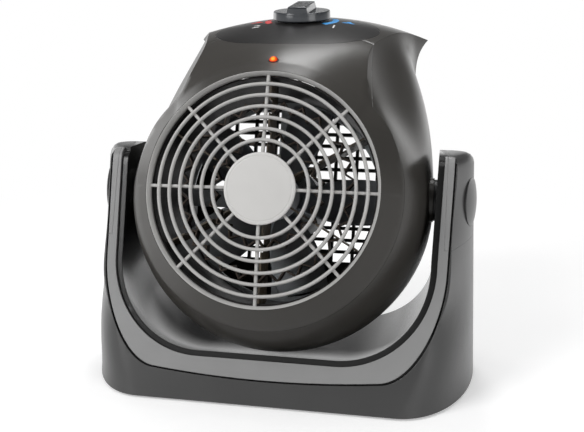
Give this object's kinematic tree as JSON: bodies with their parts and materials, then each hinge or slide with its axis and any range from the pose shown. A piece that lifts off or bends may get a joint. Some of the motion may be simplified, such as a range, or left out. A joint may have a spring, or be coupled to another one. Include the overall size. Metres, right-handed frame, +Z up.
{
  "type": "fan heater",
  "caption": "Portable fan heater with a round grilled head that tilts in a U-shaped stand, a top selector knob, an indicator lamp, and a fan and ribbon heater inside.",
  "frame": {"origin": "on the floor, at the middle of the whole heater's footprint", "axes": "+X to the heater's left-to-right across its front as the viewer sees it, -Y towards the viewer, +Z up"},
  "size_m": [0.2728, 0.2184, 0.2627],
  "materials": {
    "body_grey": "fine moulded texture, dark warm grey",
    "trim_grey": "satin mid grey trim",
    "head_grey": "satin dark warm grey",
    "panel_black": "satin dark grey with printed arcs",
    "base_black": "plain black underside",
    "foot_rubber": "soft black",
    "screw_steel": "zinc plated",
    "grille_grey": "light grey coated",
    "disc_grey": "plain light grey",
    "knob_grey": "satin dark bluish grey",
    "switch_black": "moulded black",
    "lens_red": "clear red moulding",
    "lamp_clear": "clear bulb",
    "sheet_steel": "galvanised sheet",
    "motor_steel": "dark can",
    "fan_aluminium": "plain pressed sheet",
    "ribbon_alloy": "oxidised resistance alloy",
    "mica": "layered mica board",
    "cutout_ceramic": "unglazed",
    "bush_nylon": "light grey nylon"
  },
  "bodies": {
    "stand": {"arm_cap_left": "body_grey", "arm_cap_right": "body_grey", "arm_cap_trim_left": "trim_grey", "arm_cap_trim_right": "trim_grey", "base_plate": "base_black", "base_plate_screws": "screw_steel", "pivot_bush_left": "bush_nylon", "pivot_bush_right": "bush_nylon", "pivot_dome_left": "body_grey", "pivot_dome_right": "body_grey", "rubber_feet": "foot_rubber", "stand_front_band": "trim_grey", "stand_shell": "body_grey"},
    "head": {"air_duct": "sheet_steel", "bracket_screws": "screw_steel", "control_panel": "panel_black", "cord_gland": "foot_rubber", "fan_motor": "motor_steel", "front_bezel": "head_grey", "front_grille": "grille_grey", "grille_disc": "disc_grey", "head_shell": "head_grey", "heating_ribbon_inner": "ribbon_alloy", "heating_ribbon_outer": "ribbon_alloy", "indicator_lamp": "lamp_clear", "indicator_lens": "lens_red", "lock_nut_left": "screw_steel", "lock_nut_right": "screw_steel", "mica_frame": "mica", "motor_bracket": "sheet_steel", "motor_screws": "screw_steel", "pivot_pin_left": "screw_steel", "pivot_pin_right": "screw_steel", "pivot_washer_left": "bush_nylon", "pivot_washer_right": "bush_nylon", "rear_grille": "head_grey", "rear_grille_screws": "screw_steel", "rotary_switch": "switch_black", "spring_washer_left": "screw_steel", "spring_washer_right": "screw_steel", "terminal_block": "switch_black", "thermal_cutout": "cutout_ceramic", "tip_over_switch": "switch_black"},
    "fan": {"fan_blades": "fan_aluminium", "motor_shaft": "screw_steel", "fan_lock_nut": "screw_steel"},
    "selector": {"selector_knob": "knob_grey", "selector_shaft": "screw_steel"}
  },
  "joints": [
    {"name": "head_tilt", "type": "hinge", "parent": "stand", "child": "head", "pos_m": [0, -0.0157, 0.127], "axis": [-1, 0, 0], "range_deg": [-18, 42]},
    {"name": "fan_spin", "type": "hinge", "parent": "head", "child": "fan", "pos_m": [0, -0.04203, 0.13068], "axis": [0, 0.9527, -0.304], "continuous": true},
    {"name": "selector_turn", "type": "hinge", "parent": "head", "child": "selector", "pos_m": [0, 0.05449, 0.24054], "axis": [0, -0.1294, 0.9916], "range_deg": [-120, 120]}
  ]
}
